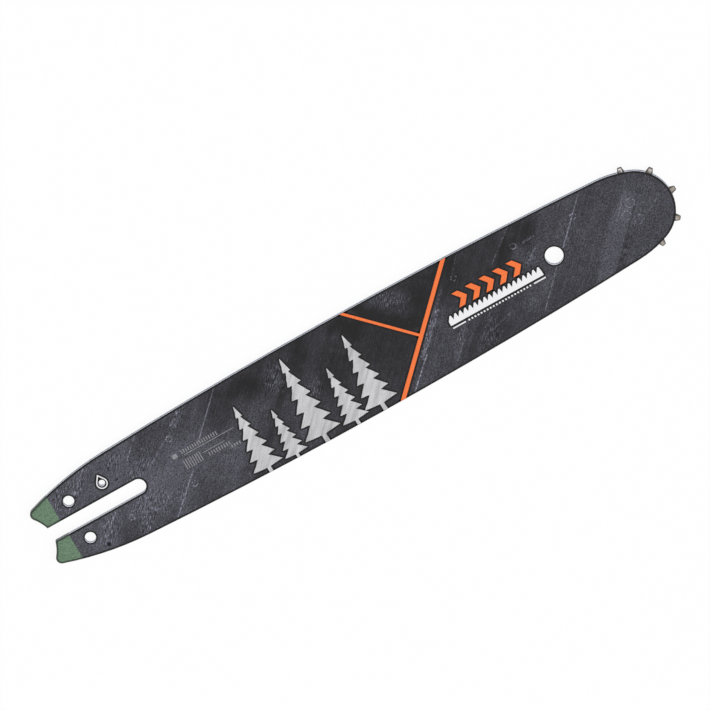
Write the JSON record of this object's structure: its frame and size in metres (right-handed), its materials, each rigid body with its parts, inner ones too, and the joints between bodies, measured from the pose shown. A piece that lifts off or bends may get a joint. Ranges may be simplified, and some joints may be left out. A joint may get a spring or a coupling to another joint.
{
  "type": "chainsaw guide bar",
  "caption": "Flat laminated chainsaw guide bar with gently crowned edges, an open stud slot between tapered arms and a star sprocket that turns in its round nose.",
  "frame": {"origin": "on the face that the bar lies on, under the middle of its overall box", "axes": "+X along the bar towards the nose, +Y across it towards the arm with the marked hole, +Z out of the painted face"},
  "size_m": [0.3832, 0.0574, 0.0041],
  "materials": {
    "painted_plate": "dark blue-grey matt paint with printed stripes, green on the tail ends, bare ground rails",
    "core_steel": "dark hardened steel with a film of oil",
    "sprocket_steel": "bare hardened steel with worn bright tips",
    "bearing_steel": "ground bearing steel",
    "rivet_steel": "flush heads ground and painted over with the plates"
  },
  "bodies": {
    "bar": {"side_plate_front": "painted_plate", "side_plate_back": "painted_plate", "core_plate": "core_steel", "bearing_inner_race": "bearing_steel", "nose_rivet_1": "rivet_steel", "nose_rivet_2": "rivet_steel", "nose_rivet_3": "rivet_steel", "nose_rivet_4": "rivet_steel"},
    "sprocket": {"nose_sprocket": "sprocket_steel"},
    "roller_ring": {"bearing_roller_01": "bearing_steel", "bearing_roller_02": "bearing_steel", "bearing_roller_03": "bearing_steel", "bearing_roller_04": "bearing_steel", "bearing_roller_05": "bearing_steel", "bearing_roller_06": "bearing_steel", "bearing_roller_07": "bearing_steel", "bearing_roller_08": "bearing_steel", "bearing_roller_09": "bearing_steel", "bearing_roller_10": "bearing_steel", "bearing_roller_11": "bearing_steel", "bearing_roller_12": "bearing_steel", "bearing_roller_13": "bearing_steel", "bearing_roller_14": "bearing_steel", "bearing_roller_15": "bearing_steel", "bearing_roller_16": "bearing_steel", "bearing_roller_17": "bearing_steel", "bearing_roller_18": "bearing_steel", "bearing_roller_19": "bearing_steel", "bearing_roller_20": "bearing_steel"}
  },
  "joints": [
    {"name": "sprocket_spin", "type": "hinge", "parent": "bar", "child": "sprocket", "pos_m": [0.16715, 0, 0.00205], "axis": [0, 0, 1], "continuous": true},
    {"name": "roller_orbit", "type": "hinge", "parent": "bar", "child": "roller_ring", "pos_m": [0.16715, 0, 0.00205], "axis": [0, 0, 1], "continuous": true}
  ],
  "couplings": [
    {"joint": "roller_orbit", "follows": "sprocket_spin", "ratio": 0.57959}
  ]
}
